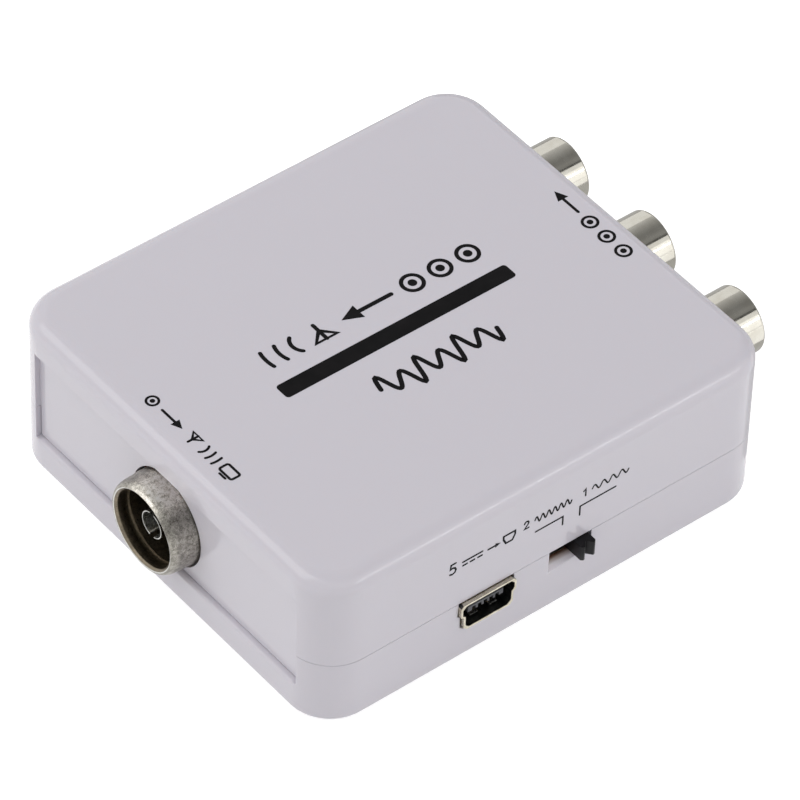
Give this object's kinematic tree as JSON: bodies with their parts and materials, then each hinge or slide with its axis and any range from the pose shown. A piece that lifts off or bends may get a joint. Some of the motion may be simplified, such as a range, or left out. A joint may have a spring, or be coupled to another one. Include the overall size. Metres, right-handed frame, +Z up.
{
  "type": "rf modulator",
  "caption": "Small white video-to-aerial converter box with phono sockets on one end, a coaxial aerial socket on the other, and a supply socket and channel switch on one side.",
  "frame": {"origin": "middle of the case's underside, on the surface it stands on", "axes": "+X along the box towards the phono sockets, -X towards the aerial socket, -Y towards the supply socket and switch, +Z up"},
  "size_m": [0.0722, 0.0575, 0.0215],
  "materials": {
    "case_white": "glossy injection-moulded ABS, off-white with a faint lilac-grey cast",
    "board_green": "green solder mask over glass-epoxy board",
    "zinc_casting": "tinned zinc casting, mottled warm grey, semi-matt",
    "black_plastic": "black moulded plastic, satin",
    "tinned_metal": "bright tin plate",
    "nickel_plate": "polished nickel plate, slightly warm",
    "insert_yellow": "yellow moulded plastic",
    "insert_white": "white moulded plastic",
    "insert_red": "red moulded plastic",
    "gilt_contact": "gold-flashed copper alloy",
    "phenolic_brown": "brown phenolic board",
    "knob_black": "black moulded plastic, fine matt grain",
    "chip_epoxy": "black moulding compound",
    "capacitor_can": "aluminium can in a dark sleeve",
    "ferrite": "dark grey ferrite",
    "ceramic_tan": "tan ceramic with tinned ends",
    "resistor_black": "black glazed chip with tinned ends"
  },
  "bodies": {
    "housing": {"top_shell": "case_white", "bottom_shell": "case_white", "circuit_board": "board_green", "aerial_socket_shell": "zinc_casting", "aerial_socket_insulator": "black_plastic", "aerial_socket_contact": "tinned_metal", "video_socket_barrel": "nickel_plate", "video_socket_insert": "insert_yellow", "video_socket_contact": "tinned_metal", "video_socket_housing": "black_plastic", "left_socket_barrel": "nickel_plate", "left_socket_insert": "insert_white", "left_socket_contact": "tinned_metal", "left_socket_housing": "black_plastic", "right_socket_barrel": "nickel_plate", "right_socket_insert": "insert_red", "right_socket_contact": "tinned_metal", "right_socket_housing": "black_plastic", "supply_socket_shell": "nickel_plate", "supply_socket_block": "black_plastic", "supply_socket_contacts": "gilt_contact", "switch_frame": "nickel_plate", "switch_base": "phenolic_brown", "switch_terminals": "gilt_contact", "shield_can": "tinned_metal", "shield_lid": "tinned_metal", "modulator_chip": "chip_epoxy", "chip_leads": "tinned_metal", "crystal": "nickel_plate", "electrolytic_capacitors": "capacitor_can", "voltage_regulator": "chip_epoxy", "power_choke": "ferrite", "polarity_diode": "chip_epoxy", "ceramic_capacitors": "ceramic_tan", "resistors": "resistor_black"},
    "slider": {"switch_knob": "knob_black", "switch_wiper": "gilt_contact"}
  },
  "joints": [
    {"name": "channel_slide", "type": "slide", "parent": "housing", "child": "slider", "axis": [1, 0, 0], "range_m": [-0.002, 0]}
  ]
}
